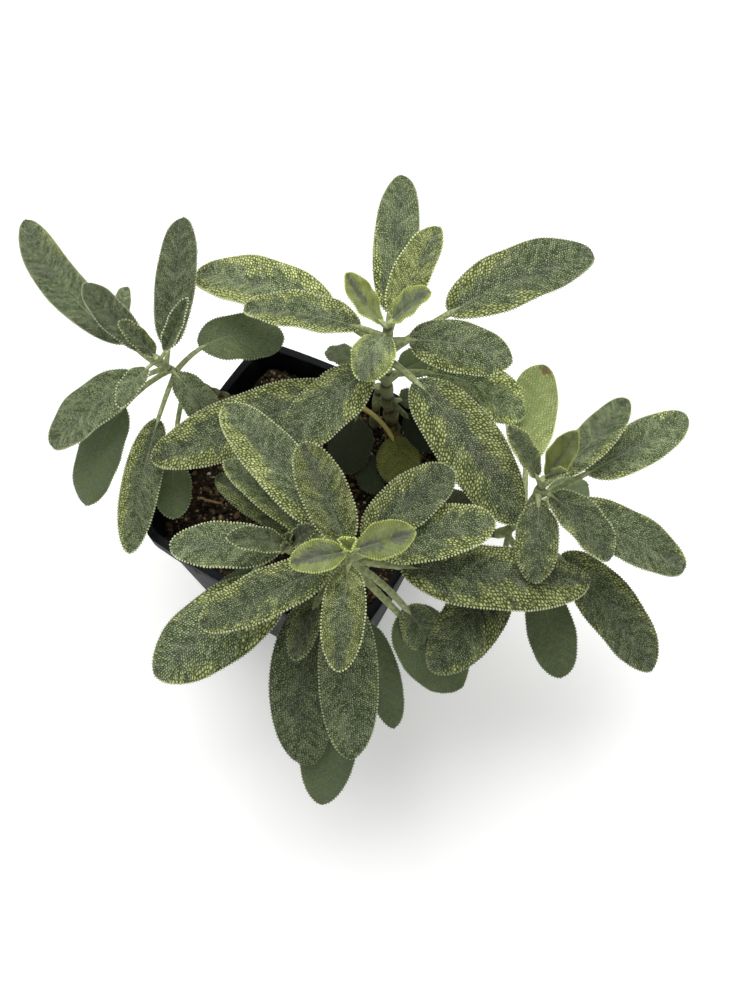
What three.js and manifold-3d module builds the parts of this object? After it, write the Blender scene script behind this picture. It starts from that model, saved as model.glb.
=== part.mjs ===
// Potted sage: five rooted cuttings and a low sprig in a square nursery pot.
// Millimetres, +Z up. The origin is the centre of the pot's underside and the pot's sides lie along X and Y.
import * as THREE from "three";
import { mergeVertices } from "three/addons/utils/BufferGeometryUtils.js";
import Module from "manifold-3d";

const wasm = await Module();
wasm.setup();

const vec = (x, y, z) => new THREE.Vector3(x, y, z);
const rad = THREE.MathUtils.degToRad;

// Square nursery pot. Widths are corner to corner along a side; the sides bulge out between the corners.
const RIM_WIDTH = 100;
const BASE_WIDTH = 80;
const POT_HEIGHT = 95;
const WALL = 1;
const FLOOR = 1.6;
const FLANGE = 3.2;
const LIP_HEIGHT = 9;
const CORNER_RIM = 9;
const CORNER_BASE = 13;
const BULGE_RIM = 3.8;
const BULGE_BASE = 1.2;
const DRAIN_RADIUS = 4;
const DRAIN_OFFSET = 26;

// Potting mix, with three crossed waves of lumps on its top.
const SOIL_TOP = 80;
const SOIL_RELIEF = 2.2;
const CENTRE_RISE = 1.1;
const LUMP_WAVES = { x: 0.9, xBend: 1.7, xBendBy: 0.5, y: 1.1, yBend: 1.3, yBendBy: 0.6, slant: 0.33 };
const SOIL_RING_SHARES = [0.96, 0.83, 0.7, 0.56, 0.42, 0.28, 0.13];
const CLEARANCE = 0.3;
const SMALLEST_EDGE = 0.02;

// Leaves. A blade's outline is broad with round ends, and its margin is scalloped.
const BLADE_THICKNESS = 0.8;
const SCALLOP = 0.45;
const ROW_SPACING = 5.8;
const FIRST_ROW = 0.01;
const LAST_ROW = 0.995;
const OUTLINE_SHIFT = 0.95;
const OUTLINE_FULLNESS = 2.3;
const OUTLINE_ROUNDNESS = 0.55;

// Stalks. A petiole runs on under its blade, tapers, and is thinner where the blade is narrow.
const PETIOLE_RADIUS = 1.25;
const PETIOLE_TAPER = 0.5;
const PETIOLE_RUN_ON = 0.12;
const PETIOLE_STEP = 7;
const PETIOLE_SIDES = 4;
const NARROW_LEAF_SHARE = 0.45;
const BROAD_LEAF_WIDTH = 30;
const STEM_SIDES = 8;

// The plants are turned with the camera's side of the pot, so their own X runs to the right in the photo.
const PLANT_TURN = 28;

// Each shoot: its stem's path from the root end up, its two radii, and its leaves.
// A leaf: place along the stem from 0 to 1, tip [x, y, z], petiole length, blade width,
// arch and sweep of the midrib (mm at its middle, up and to its left), roll and fold of the blade (degrees).
const SHOOTS = {
  leaf_shoot_left: {
    stem: [[-17, 33, 66], [-17, 34, 82], [-25, 36, 93], [-37, 36, 104], [-45, 36, 113],
      [-50, 34, 124], [-53, 31, 136], [-55, 29, 146]],
    radii: [2.4, 1.3],
    leaves: [
      [0.82, [-121, 113, 118], 22, 17, 5, 10, 0, 10],
      [0.92, [-84, 62, 146], 8, 13, 3, 3, 10, 15],
      [0.99, [-67, 37, 158], 1, 8, 1, 0, 0, 20],
      [0.72, [-77, 83, 112], 40, 7, 2, 11, 20, 10],
      [0.88, [-48, 90, 150], 7, 16, 3, -1, 0, 12],
      [0.95, [-42, 46, 160], 4, 9, -2, 0, 10, 45],
      [0.78, [-9, 53, 118], 14, 22, 5, 6, 0, -6],
      [0.86, [-100, 7, 114], 11, 20, 6, -1, 0, 8],
      [0.96, [-68, 10, 141], 7, 9, 4, 0, 0, 15],
      [0.82, [-90, -9, 92], 24, 19, 7, -6, 0, -5],
      [0.78, [-68, -34, 102], 20, 15, 2, -2, -15, 12],
      [0.68, [-52, -18, 99], 34, 15, 2, -2, 0, 5],
      [0.84, [-33, 15, 108], 3, 14, 5, 0, -5, -5],
    ],
  },
  leaf_shoot_back: {
    stem: [[36, 25, 66], [36, 25, 84], [35, 28, 100], [33, 29, 120], [33, 29, 142], [33, 30, 166]],
    radii: [3.8, 1.9],
    leaves: [
      [0.88, [39, 98, 166], 12, 17, 4, 0, 0, 10],
      [0.94, [52, 65, 178], 7, 15, 1, 1, -5, 15],
      [0.99, [18, 42, 182], 3, 11, -1, 1, 5, 20],
      [1, [48, 35, 181], 3, 12, 2, 0, -10, 18],
      [0.95, [23, 12, 158], 2, 17, 6, 0, 5, -15],
      [0.84, [-44, 76, 132], 24, 24, 10, -1, 0, 8],
      [0.92, [-21, 44, 156], 11, 20, 2, -2, 15, 10],
      [0.82, [114, 77, 146], 28, 27, 6, 1, -5, 10],
      [0.9, [80, 25, 149], 8, 21, 3, 2, 10, -12],
      [0.78, [82, -31, 126], 16, 26, 12, 1, 0, -8],
      [0.66, [88, 20, 114], 16, 24, 5, 5, 0, 5],
      [0.8, [-7, -3, 132], 8, 23, 5, 0, 5, -8],
      [0.68, [-58, -3, 122], 20, 24, 6, 3, -8, 8],
      [0.46, [53, 10, 103], 10, 12, 3, 0, 20, 0],
      [0.44, [47, 33, 102], 5, 11, 2, 0, 0, 5],
      [0.6, [9, 50, 116], 14, 10, 3, 0, 0, 5],
      [0.6, [57, 46, 118], 8, 15, 2, 1, 0, 5],
    ],
  },
  leaf_shoot_right: {
    stem: [[36, -9, 66], [36, -9, 84], [45, -13, 97], [61, -21, 105], [77, -28, 108],
      [86, -23, 116], [91, -19, 139]],
    radii: [2.6, 1.8],
    leaves: [
      [0.78, [99, 52, 100], 24, 20, 1, 2, 0, 5],
      [0.96, [77, -2, 149], 4, 10, 1, 0, 10, 25],
      [0.98, [101, -9, 158], 3, 11, -1, 0, 0, 25],
      [0.94, [124, 14, 140], 8, 14, 2, -2, 0, 8],
      [0.88, [150, 14, 126], 22, 18, 2, -2, 5, 8],
      [0.99, [97, -22, 151], 1, 6, 1, 0, 0, 20],
      [0.86, [148, -42, 106], 10, 21, 6, 0, 0, 8],
      [0.94, [115, -46, 127], 5, 17, 4, 1, -10, 12],
      [0.92, [86, -57, 132], 6, 16, 4, 0, 0, -10],
      [0.72, [138, -75, 80], 22, 24, 2, 5, -8, 5],
      [0.68, [102, -78, 80], 26, 19, 3, 3, 0, -4],
      [0.82, [114, -5, 102], 10, 12, 2, 0, 10, 5],
      [0.7, [49, -84, 112], 16, 23, 4, 5, -5, -6],
    ],
  },
  leaf_shoot_front: {
    stem: [[9, -31, 66], [9, -31, 84], [12, -38, 104], [16, -46, 126], [19, -53, 146], [20, -55, 160]],
    radii: [2.8, 1.4],
    leaves: [
      [0.9, [-27, 6, 150], 12, 20, 5, 0, 5, 8],
      [0.72, [-28, -9, 134], 12, 14, 3, 0, 5, 15],
      [0.62, [-33, -9, 120], 14, 14, 3, 0, 0, 5],
      [0.95, [3, -18, 167], 3, 17, 2, 0, 0, 12],
      [0.88, [56, -20, 150], 8, 19, 4, 0, 0, 8],
      [0.86, [71, -39, 147], 10, 20, 3, 0, 0, 6],
      [0.98, [42, -51, 166], 2, 14, 0, 0, 10, 24],
      [0.98, [0, -62, 165], 2, 12, 1, 0, -10, 20],
      [0.94, [16, -93, 144], 4, 15, 5, 0, 0, -10],
      [0.84, [109, -50, 116], 19, 26, 4, -3, -5, -6],
      [0.9, [-33, -75, 139], 7, 18, 3, 1, 0, 8],
      [0.66, [-53, -85, 110], 24, 29, 5, -2, 0, -5],
      [0.72, [20, -116, 110], 14, 21, 8, 0, 0, -6],
      [0.6, [4, -115, 94], 16, 24, 8, -7, 0, 5],
      [0.78, [0, -85, 130], 20, 10, 3, -2, 0, 8],
      [0.5, [8, -127, 79], 30, 23, 10, 2, 0, -5],
      [0.48, [36, -98, 80], 26, 14, 6, 2, 0, -8],
      [0.8, [52, -75, 100], 32, 15, 4, 3, 0, -12],
      [0.74, [63, -82, 85], 31, 26, 3, 0, 0, -5],
      [1, [16, -54, 167], 1, 5, 0, 0, 0, 30],
      [1, [22, -54, 168], 1, 5, 1, 0, 0, 30],
      [0.68, [68, -13, 108], 24, 21, 3, -2, 0, 5],
    ],
  },
  leaf_shoot_side: {
    stem: [[-7, -24, 66], [-7, -24, 84], [-6, -33, 106], [-3, -43, 128], [-2, -46, 142]],
    radii: [2, 1.1],
    leaves: [
      [0.84, [-47, -42, 130], 4, 18, 3, 0, 0, 5],
      [0.94, [-24, -46, 148], 2, 10, 2, 0, 0, 20],
      [0.97, [8, -47, 161], 5, 7, 4, -1, 20, 12],
      [0.98, [-1, -45, 151], 1, 4, 1, 0, 0, 25],
      [1, [-4, -52, 149], 1, 4, 1, 0, 0, 25],
      [0.5, [-38, -58, 96], 16, 11, 4, 0, 0, 0],
    ],
  },
  stem_stub: {
    stem: [[28, 33, 66], [28, 33, 84], [29, 34, 97], [30, 35, 112]],
    radii: [2.1, 1.9],
    leaves: [],
  },
  leaf_sprig_low: {
    stem: [[20, 32, 66], [20, 32, 84], [21, 33, 92], [22, 33, 100]],
    radii: [1.8, 1],
    leaves: [
      [0.9, [16, 3, 96], 6, 18, 3, 0, 0, -5],
      [0.95, [38, -3, 96], 21, 18, 3, 6, 0, -5],
      [0.8, [28, -4, 92], 22, 12, 3, 0, 0, 0],
      [0.75, [-8, 24, 93], 9, 14, 2, 0, 0, 0],
    ],
  },
};

// Joins rings of equal point count into one closed surface with a fan at each end.
// Rings run anticlockwise about the direction of travel. With `pairedFaces`, the second half of
// each ring is split along the other diagonal, so that both faces of a thin blade share their edges.
function loft(rings, pairedFaces = false) {
  const count = rings[0].length;
  const points = rings.flat();
  const index = [];
  for (let r = 0; r + 1 < rings.length; r++) {
    for (let i = 0; i < count; i++) {
      const next = (i + 1) % count;
      const [a, b] = [r * count + i, r * count + next];
      const [c, d] = [a + count, b + count];
      if (pairedFaces && i >= count / 2) index.push(a, b, c, b, d, c);
      else index.push(a, b, d, a, d, c);
    }
  }
  const middle = (ring) => ring.reduce((sum, p) => sum.add(p), vec(0, 0, 0)).divideScalar(count);
  const last = (rings.length - 1) * count;
  points.push(middle(rings[0]), middle(rings.at(-1)));
  for (let i = 0; i < count; i++) {
    const next = (i + 1) % count;
    index.push(points.length - 2, next, i, points.length - 1, last + i, last + next);
  }
  return new THREE.BufferGeometry().setFromPoints(points).setIndex(index);
}

function solidOf(geometry) {
  const merged = mergeVertices(geometry.deleteAttribute("normal").deleteAttribute("uv"), 1e-4);
  return new wasm.Manifold(new wasm.Mesh({
    numProp: 3,
    vertProperties: new Float32Array(merged.getAttribute("position").array),
    triVerts: new Uint32Array(merged.index.array),
  }));
}

function geometryOf(solid) {
  const mesh = solid.simplify(SMALLEST_EDGE).getMesh();
  return new THREE.BufferGeometry()
    .setAttribute("position", new THREE.BufferAttribute(mesh.vertProperties, 3))
    .setIndex(new THREE.BufferAttribute(mesh.triVerts, 1));
}

function namedMesh(name, solid, color, roughness) {
  const material = new THREE.MeshStandardMaterial({ color, roughness, metalness: 0 });
  const mesh = new THREE.Mesh(geometryOf(solid), material);
  mesh.geometry.computeVertexNormals();
  mesh.name = name;
  return mesh;
}

// A level ring of the pot: a square of rounded corners whose sides bulge between them.
function squareRing(z, half, corner, bulge) {
  const cornerSteps = 3;
  const sideSteps = 4;
  const ring = [];
  const bulged = (x, y) => vec(
    x * (1 + (bulge / half) * (1 - (y / half) ** 2)),
    y * (1 + (bulge / half) * (1 - (x / half) ** 2)),
    z,
  );
  for (let side = 0; side < 4; side++) {
    const turn = (side * Math.PI) / 2;
    const [cos, sin] = [Math.round(Math.cos(turn)), Math.round(Math.sin(turn))];
    const place = (x, y) => ring.push(bulged(x * cos - y * sin, x * sin + y * cos));
    const straight = half - corner;
    for (let i = 1; i < sideSteps; i++) place(half, straight * ((2 * i) / sideSteps - 1));
    for (let i = 0; i <= cornerSteps; i++) {
      const angle = (i / cornerSteps) * (Math.PI / 2);
      place(straight + corner * Math.cos(angle), straight + corner * Math.sin(angle));
    }
  }
  return ring;
}

// The tapered wall's ring at a height, moved inwards by `inset`.
function wallRing(z, inset) {
  const share = z / POT_HEIGHT;
  const mix = THREE.MathUtils.lerp;
  const wallTop = RIM_WIDTH / 2 - FLANGE + WALL;
  return squareRing(z, mix(BASE_WIDTH / 2, wallTop, share) - inset,
    mix(CORNER_BASE, CORNER_RIM - FLANGE + WALL, share) - inset, mix(BULGE_BASE, BULGE_RIM, share));
}

// Floor, tapered wall, flat flange and the lip that turns down from it, with drain holes in the corners.
function potSolid() {
  const flangeUnder = POT_HEIGHT - WALL;
  const lipFoot = POT_HEIGHT - LIP_HEIGHT;
  const lipRing = (z, inset) => squareRing(z, RIM_WIDTH / 2 - inset, CORNER_RIM - inset, BULGE_RIM);
  const flareAtFoot = 0.5;
  let pot = solidOf(loft([
    wallRing(0, 0),
    wallRing(POT_HEIGHT / 2, 0),
    wallRing(flangeUnder, 0),
    lipRing(flangeUnder, WALL),
    lipRing(lipFoot, WALL + flareAtFoot),
    lipRing(lipFoot, flareAtFoot),
    lipRing(POT_HEIGHT, 0),
    wallRing(POT_HEIGHT, WALL),
    wallRing(POT_HEIGHT / 2, WALL),
    wallRing(FLOOR, WALL),
  ]));
  for (const [x, y] of [[1, 1], [-1, 1], [-1, -1], [1, -1]]) {
    const hole = new THREE.CylinderGeometry(DRAIN_RADIUS, DRAIN_RADIUS, 4 * FLOOR, 16)
      .rotateX(Math.PI / 2)
      .translate(x * DRAIN_OFFSET, y * DRAIN_OFFSET, 0);
    pot = pot.subtract(solidOf(hole));
  }
  return pot;
}

// Height of the mix's lumps at a place, from -1 to 1.
function lumps(x, y) {
  const w = LUMP_WAVES;
  const first = Math.sin(x * w.x + w.xBend * Math.sin(y * w.xBendBy));
  const second = Math.sin(y * w.y + w.yBend * Math.sin(x * w.yBendBy));
  return (first + second + Math.sin((x + y) * w.slant)) / 3;
}

// The mix fills the pot to below its rim, with a plain hole for each stem's root end.
function soilSolid(shoots) {
  const inset = WALL + CLEARANCE;
  const edge = wallRing(SOIL_TOP, inset);
  const top = SOIL_RING_SHARES.map((share) => edge.map((p) => {
    const [x, y] = [p.x * share, p.y * share];
    return vec(x, y, SOIL_TOP + SOIL_RELIEF * lumps(x, y) + CENTRE_RISE * (1 - share));
  }));
  let soil = solidOf(loft([wallRing(FLOOR + CLEARANCE, inset), wallRing(POT_HEIGHT / 2, inset), edge, ...top]));
  for (const shoot of shoots) {
    const bore = stemPoints(shoot).filter((point) => point.z < SOIL_TOP + 3 * SOIL_RELIEF);
    bore[0].z -= CLEARANCE;
    const hole = solidOf(tube(bore, () => shoot.radii[0] + CLEARANCE, STEM_SIDES));
    soil = soil.subtract(hole.rotate([0, 0, PLANT_TURN]));
  }
  return soil;
}

// A round bar through points; `radiusAt` gives its radius for a share 0 to 1 of its length.
function tube(points, radiusAt, sides) {
  const rings = points.map((point, i) => {
    const ahead = points[Math.min(i + 1, points.length - 1)];
    const behind = points[Math.max(i - 1, 0)];
    const along = ahead.clone().sub(behind).normalize();
    const right = vec(0, 1, 0).cross(along).normalize();
    const up = along.clone().cross(right);
    return Array.from({ length: sides }, (_, k) => {
      const angle = (k / sides) * 2 * Math.PI;
      const radius = radiusAt(i / (points.length - 1));
      return point.clone()
        .addScaledVector(right, radius * Math.cos(angle))
        .addScaledVector(up, radius * Math.sin(angle));
    });
  });
  return loft(rings);
}

function midribOf(from, tip, arch, sweep) {
  const across = tip.clone().sub(from);
  const left = vec(-across.y, across.x, 0).normalize();
  const control = from.clone().add(tip).divideScalar(2)
    .addScaledVector(vec(0, 0, 1), 2 * arch)
    .addScaledVector(left, 2 * sweep);
  return new THREE.QuadraticBezierCurve3(from, control, tip);
}

// Half width of a blade at a share of its length: broad, with a round tip and a rounded base.
function bladeHalf(share, width) {
  const fromMiddle = Math.abs(2 * share ** OUTLINE_SHIFT - 1);
  return (width / 2) * Math.max(1 - fromMiddle ** OUTLINE_FULLNESS, 0) ** OUTLINE_ROUNDNESS;
}

function bladeSolid(midrib, start, width, roll, fold) {
  const length = midrib.getLength() * (1 - start);
  const rows = Math.max(4, Math.round(length / ROW_SPACING));
  const rings = [];
  for (let row = 0; row <= rows; row++) {
    const even = row / rows;
    const eased = (even + (1 - Math.cos(Math.PI * even)) / 2) / 2;
    const share = THREE.MathUtils.lerp(FIRST_ROW, LAST_ROW, eased);
    const place = THREE.MathUtils.lerp(start, 1, share);
    const point = midrib.getPointAt(place);
    const along = midrib.getTangentAt(place);
    const right = along.clone().cross(vec(0, 0, 1)).normalize().applyAxisAngle(along, rad(roll));
    const up = right.clone().cross(along);
    const scallop = row % 2 ? SCALLOP : 0;
    const half = bladeHalf(share, width) + scallop;
    const corner = (side, face) => point.clone()
      .addScaledVector(right, side * half * Math.cos(rad(fold)))
      .addScaledVector(up, Math.abs(side) * half * Math.sin(rad(fold)) + (face * BLADE_THICKNESS) / 2);
    rings.push([corner(-1, 1), corner(0, 1), corner(1, 1), corner(1, -1), corner(0, -1), corner(-1, -1)]);
  }
  return solidOf(loft(rings, true));
}

function leafSolid(stem, [at, tip, petiole, width, arch, sweep, roll, fold]) {
  const midrib = midribOf(stem.getPointAt(at), vec(...tip), arch, sweep);
  const start = petiole / midrib.getLength();
  const petioleEnd = start + PETIOLE_RUN_ON * (1 - start);
  const steps = Math.max(2, Math.round(petiole / PETIOLE_STEP));
  const points = Array.from({ length: steps + 1 }, (_, i) => midrib.getPointAt((petioleEnd * i) / steps));
  const slim = Math.min(1, NARROW_LEAF_SHARE + width / BROAD_LEAF_WIDTH);
  const radiusAt = (share) => PETIOLE_RADIUS * slim * (1 - PETIOLE_TAPER * share);
  return bladeSolid(midrib, start, width, roll, fold).add(solidOf(tube(points, radiusAt, PETIOLE_SIDES)));
}

const stemPath = ({ stem }) => new THREE.CatmullRomCurve3(stem.map((p) => vec(...p)));

function stemPoints(shoot) {
  const steps = shoot.stem.length * 2;
  return Array.from({ length: steps + 1 }, (_, i) => stemPath(shoot).getPointAt(i / steps));
}

function shootSolid(shoot) {
  const [thick, thin] = shoot.radii;
  const radiusAt = (share) => THREE.MathUtils.lerp(thick, thin, share);
  const bar = solidOf(tube(stemPoints(shoot), radiusAt, STEM_SIDES));
  return shoot.leaves.reduce((grown, leaf) => grown.add(leafSolid(stemPath(shoot), leaf)), bar);
}

const plants = new THREE.Group();
plants.rotation.z = rad(PLANT_TURN);
for (const [name, shoot] of Object.entries(SHOOTS)) {
  plants.add(namedMesh(name, shootSolid(shoot), 0x6f8459, 0.85));
}

const sage = new THREE.Group();
sage.add(namedMesh("pot", potSolid(), 0x16181b, 0.5));
sage.add(namedMesh("potting_mix", soilSolid(Object.values(SHOOTS)), 0x33251a, 0.95));
sage.add(plants);

export default sage;
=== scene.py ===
import math
import bpy
import numpy as np
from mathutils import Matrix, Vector


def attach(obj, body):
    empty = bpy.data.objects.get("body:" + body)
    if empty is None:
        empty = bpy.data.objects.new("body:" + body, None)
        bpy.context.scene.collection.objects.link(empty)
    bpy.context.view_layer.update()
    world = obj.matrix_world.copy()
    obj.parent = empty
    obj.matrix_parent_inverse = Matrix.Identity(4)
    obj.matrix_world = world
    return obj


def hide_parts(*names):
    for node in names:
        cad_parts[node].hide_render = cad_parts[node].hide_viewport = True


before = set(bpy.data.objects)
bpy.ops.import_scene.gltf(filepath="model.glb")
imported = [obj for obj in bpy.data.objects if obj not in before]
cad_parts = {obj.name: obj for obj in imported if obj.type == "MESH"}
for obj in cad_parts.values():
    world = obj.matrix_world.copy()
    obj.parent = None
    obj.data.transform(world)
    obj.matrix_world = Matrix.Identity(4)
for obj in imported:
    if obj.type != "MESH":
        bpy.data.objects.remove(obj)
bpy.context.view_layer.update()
mm = 0.001
plantTurn = math.radians(28)  # the plants' own X runs to the right in the photo's view
print("frame loaded")


def rgb(red, green, blue):
    # a colour as a picture gives it, 0 to 255, in linear values
    parts = [((c / 255 + 0.055) / 1.055) ** 2.4 for c in (red, green, blue)]
    return (*parts, 1)


class Wire:
    # a socket of a node tree; sums on wires add Math nodes, so a rule reads as a formula

    def __init__(self, tree, socket):
        self.tree = tree
        self.socket = socket

    def out(self, name):
        return Wire(self.tree, self.tree.find(self.socket.node.outputs, name))

    def math(self, operation, *others, first=None):
        values = (self,) + others if first is None else (first, self)
        return self.tree.add("ShaderNodeMath", {"operation": operation}, dict(enumerate(values)))

    def vector(self, operation, *others):
        values = dict(enumerate((self,) + others))
        return self.tree.add("ShaderNodeVectorMath", {"operation": operation}, values)

    def __add__(self, other):
        return self.math("ADD", other)

    def __sub__(self, other):
        return self.math("SUBTRACT", other)

    def __rsub__(self, other):
        return self.math("SUBTRACT", first=other)

    def __mul__(self, other):
        return self.math("MULTIPLY", other)

    __radd__, __rmul__ = __add__, __mul__

    def __truediv__(self, other):
        return self.math("DIVIDE", other)

    def __rtruediv__(self, other):
        return self.math("DIVIDE", first=other)

    def __pow__(self, other):
        return self.math("POWER", other)

    def __neg__(self):
        return self.math("MULTIPLY", -1)

    def __gt__(self, other):
        return self.math("GREATER_THAN", other)

    def __lt__(self, other):
        return self.math("LESS_THAN", other)

    def size(self):
        return self.math("ABSOLUTE")

    def sine(self):
        return self.math("SINE")

    def cosine(self):
        return self.math("COSINE")

    def sign(self):
        return self.math("SIGN")

    def atLeast(self, other):
        return self.math("MAXIMUM", other)

    def atMost(self, other):
        return self.math("MINIMUM", other)

    def step(self, low, high):
        # 0 below low, 1 above high, and smooth between them
        values = {"Value": self, "From Min": low, "From Max": high}
        return self.tree.add("ShaderNodeMapRange", {"interpolation_type": "SMOOTHSTEP"}, values)

    def plus(self, other):
        return self.vector("ADD", other)

    def times(self, factor):
        values = {"Vector": self, "Scale": factor}
        return self.tree.add("ShaderNodeVectorMath", {"operation": "SCALE"}, values)

    def along(self, axis):
        # one of a vector's three numbers
        return self.tree.add("ShaderNodeSeparateXYZ", {}, {"Vector": self}).out(axis)

    def parts(self):
        return [self.along(axis) for axis in "XYZ"]


class Tree:
    # add() makes a node from its type, its settings, and the values or wires of its sockets

    def __init__(self, nodeTree):
        self.nodeTree = nodeTree

    def find(self, sockets, key):
        if isinstance(key, int):
            return sockets[key]
        named = [s for s in sockets if key in (s.name, s.identifier)]
        return next((s for s in named if s.enabled), named[0])

    def add(self, kind, settings=None, values=None):
        node = self.nodeTree.nodes.new(kind)
        for name, setting in (settings or {}).items():
            if name == "stops":
                self.setStops(node.color_ramp, setting)
            elif name == "captures":
                for label, socketType in setting:
                    node.capture_items.new(socketType, label)
            else:
                setattr(node, name, setting)
        for key, value in (values or {}).items():
            self.feed(node, key, value)
        return Wire(self, next((s for s in node.outputs if s.enabled), None))

    def feed(self, node, key, value):
        socket = self.find(node.inputs, key)
        for item in value if isinstance(value, list) else [value]:
            if isinstance(item, Wire):
                self.nodeTree.links.new(item.socket, socket)
            else:
                socket.default_value = item

    def setStops(self, ramp, stops):
        while len(ramp.elements) > 1:
            ramp.elements.remove(ramp.elements[-1])
        for i, (place, colour) in enumerate(stops):
            element = ramp.elements[0] if i == 0 else ramp.elements.new(place)
            element.position = place
            element.color = colour

    def combine(self, x, y, z):
        return self.add("ShaderNodeCombineXYZ", {}, {"X": x, "Y": y, "Z": z})

    def blend(self, factor, first, second):
        # a colour between two colours
        values = {"Factor_Float": factor, "A_Color": first, "B_Color": second}
        return self.add("ShaderNodeMix", {"data_type": "RGBA"}, values).out("Result_Color")

    def noise(self, place, scale, detail=2, roughness=0.5):
        values = {"Vector": place, "Scale": scale, "Detail": detail, "Roughness": roughness}
        return self.add("ShaderNodeTexNoise", {}, values)

    def random(self, low, high, seed):
        # a random number, or a random vector between two corners, for each point
        settings = {"data_type": "FLOAT_VECTOR" if isinstance(low, tuple) else "FLOAT"}
        return self.add("FunctionNodeRandomValue", settings, {"Min": low, "Max": high, "Seed": seed})

    def spot(self):
        # the place on the piece that a material colours
        return self.add("ShaderNodeTexCoord").out("Object")

    def attribute(self, label):
        # in a material, a vector that the mesh holds at each point
        return self.add("ShaderNodeAttribute", {"attribute_name": label}).out("Vector")

    def field(self, label):
        # in a growth tree, a number that the lines hold at each point
        return self.add("GeometryNodeInputNamedAttribute", {"data_type": "FLOAT"}, {"Name": label})

    def store(self, geometry, label, value, domain="POINT"):
        settings = {"data_type": "FLOAT_VECTOR", "domain": domain}
        values = {"Geometry": geometry, "Name": label, "Value": value}
        return self.add("GeometryNodeStoreNamedAttribute", settings, values)

    def moved(self, geometry, values):
        return self.add("GeometryNodeSetPosition", {}, {"Geometry": geometry, **values})

    def painted(self, geometry, material):
        return self.add("GeometryNodeSetMaterial", {}, {"Geometry": geometry, "Material": material})

    def realized(self, instances):
        return self.add("GeometryNodeRealizeInstances", {}, {"Geometry": instances})

    def close(self, parts):
        # joins what a growth tree has made, smooths it and hands it out
        whole = self.add("GeometryNodeJoinGeometry", {}, {"Geometry": parts})
        smooth = self.add("GeometryNodeSetShadeSmooth", {}, {"Geometry": whole})
        self.add("NodeGroupOutput", {}, {"Geometry": smooth})


socketKinds = {
    int: "NodeSocketInt",
    float: "NodeSocketFloat",
    tuple: "NodeSocketVector",
    bpy.types.Material: "NodeSocketMaterial",
}


def growthTree(name, values):
    # an empty Geometry Nodes tree with an input for each named value
    group = bpy.data.node_groups.new(name, "GeometryNodeTree")
    group.interface.new_socket("Geometry", in_out="INPUT", socket_type="NodeSocketGeometry")
    group.interface.new_socket("Geometry", in_out="OUTPUT", socket_type="NodeSocketGeometry")
    for label, value in values.items():
        group.interface.new_socket(label, in_out="INPUT", socket_type=socketKinds[type(value)])
    tree = Tree(group)
    return tree, tree.add("NodeGroupInput")


def evaluated(piece):
    # a plain mesh of what an object and its modifiers make
    return bpy.data.meshes.new_from_object(piece.evaluated_get(bpy.context.evaluated_depsgraph_get()))


def grown(name, mesh, tree, values):
    # runs a tree on a mesh and returns the result as a plain mesh object
    raw = bpy.data.objects.new(name + "_raw", mesh)
    bpy.context.scene.collection.objects.link(raw)
    modifier = raw.modifiers.new("Growth", "NODES")
    modifier.node_group = tree.nodeTree
    for item in tree.nodeTree.interface.items_tree:
        if item.in_out == "INPUT" and item.name in values:
            modifier[item.identifier] = values[item.name]
    made = evaluated(raw)
    raw.modifiers.remove(modifier)
    bpy.data.objects.remove(raw)
    for label in [a.name for a in made.attributes if a.domain == "POINT" and a.data_type == "FLOAT"]:
        made.attributes.remove(made.attributes[label])
    for slot in reversed(range(len(made.materials))):
        if made.materials[slot] is None:
            made.materials.pop(index=slot)  # a slot that no face uses
    return placed(name, made)


def placed(name, mesh):
    piece = bpy.data.objects.new(name, mesh)
    mesh.name = name
    bpy.context.scene.collection.objects.link(piece)
    return piece


def lineMesh(name, lines):
    # polylines as loose edges; a line is {"points": rows of x, y, z} with named numbers beside them,
    # one for the whole line or one for each point, and 0 where it has none of that name
    counts = [len(line["points"]) for line in lines]
    starts = np.cumsum([0] + counts[:-1])
    edges = [(s + i, s + i + 1) for s, count in zip(starts, counts) for i in range(count - 1)]
    mesh = bpy.data.meshes.new(name)
    mesh.from_pydata(np.vstack([line["points"] for line in lines]), edges, [])
    for label in dict.fromkeys(key for line in lines for key in line if key != "points"):
        numbers = [np.broadcast_to(line.get(label, 0), count) for line, count in zip(lines, counts)]
        attribute = mesh.attributes.new(label, "FLOAT", "POINT")
        attribute.data.foreach_set("value", np.concatenate(numbers).astype(np.float32))
    return mesh


# Camera and room

view = {
    "position": (118.7 * mm, -162.8 * mm, 534.9 * mm),
    "tilt": 23.5,  # degrees from straight down
    "turn": 28,
    "lens": 42.48,
    "nearest": 10 * mm,
    "skyStrength": 0.42,
    "floorTone": rgb(244, 244, 243),
    "floorHalf": 3,  # metres from the middle to each side
    "floorGlow": 0.25,
}

# places and sizes in metres, power in watts
lamps = {
    "key": {"position": (-0.35, 0.35, 1.3), "size": 1.2, "power": 21},
    "fill": {"position": (0.9, -0.7, 0.9), "size": 1.2, "power": 3},
}
lampAim = (0, 0, 0.1)

camera = bpy.data.objects.new("camera", bpy.data.cameras.new("camera"))
camera.location = view["position"]
camera.rotation_euler = (math.radians(view["tilt"]), 0, math.radians(view["turn"]))
camera.data.lens = view["lens"]
camera.data.clip_start = view["nearest"]
bpy.context.scene.collection.objects.link(camera)
bpy.context.scene.camera = camera
bpy.context.scene.view_settings.view_transform = "Standard"

for name, lamp in lamps.items():
    light = bpy.data.lights.new(name, "AREA")
    light.size = lamp["size"]
    light.energy = lamp["power"]
    stand = bpy.data.objects.new(name, light)
    stand.location = lamp["position"]
    stand.rotation_euler = (Vector(lampAim) - stand.location).to_track_quat("-Z", "Y").to_euler()
    bpy.context.scene.collection.objects.link(stand)

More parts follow.
